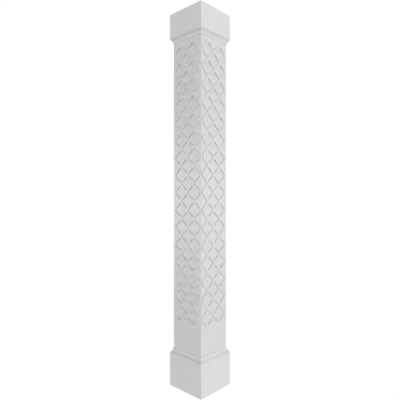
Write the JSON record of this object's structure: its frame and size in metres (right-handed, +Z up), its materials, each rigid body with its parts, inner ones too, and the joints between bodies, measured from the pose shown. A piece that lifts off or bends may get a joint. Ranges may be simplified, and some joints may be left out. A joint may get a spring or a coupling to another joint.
{
  "type": "square column",
  "caption": "Square hollow column wrap with a wavy trellis fretwork panel on each face, a plain capital and base, and cove mouldings.",
  "frame": {"origin": "middle of the underside, on the floor", "axes": "+Z up along the column; the four faces look along +X, -X, +Y and -Y, and the front face looks along -Y"},
  "size_m": [0.2814, 0.2814, 2.4384],
  "materials": {
    "shaft": "smooth white cellular PVC board, satin",
    "fretwork": "white cellular PVC sheet, routed, satin",
    "trim": "smooth white cellular PVC board, satin",
    "moulding": "white extruded moulding, satin"
  },
  "bodies": {
    "root": {"shaft_board_front": "shaft", "shaft_board_right": "shaft", "shaft_board_back": "shaft", "shaft_board_left": "shaft", "fretwork_panel_front": "fretwork", "fretwork_panel_right": "fretwork", "fretwork_panel_back": "fretwork", "fretwork_panel_left": "fretwork", "capital_board_front": "trim", "capital_board_right": "trim", "capital_board_back": "trim", "capital_board_left": "trim", "capital_moulding_front": "moulding", "capital_moulding_right": "moulding", "capital_moulding_back": "moulding", "capital_moulding_left": "moulding", "base_board_front": "trim", "base_board_right": "trim", "base_board_back": "trim", "base_board_left": "trim", "base_moulding_front": "moulding", "base_moulding_right": "moulding", "base_moulding_back": "moulding", "base_moulding_left": "moulding"}
  },
  "joints": []
}
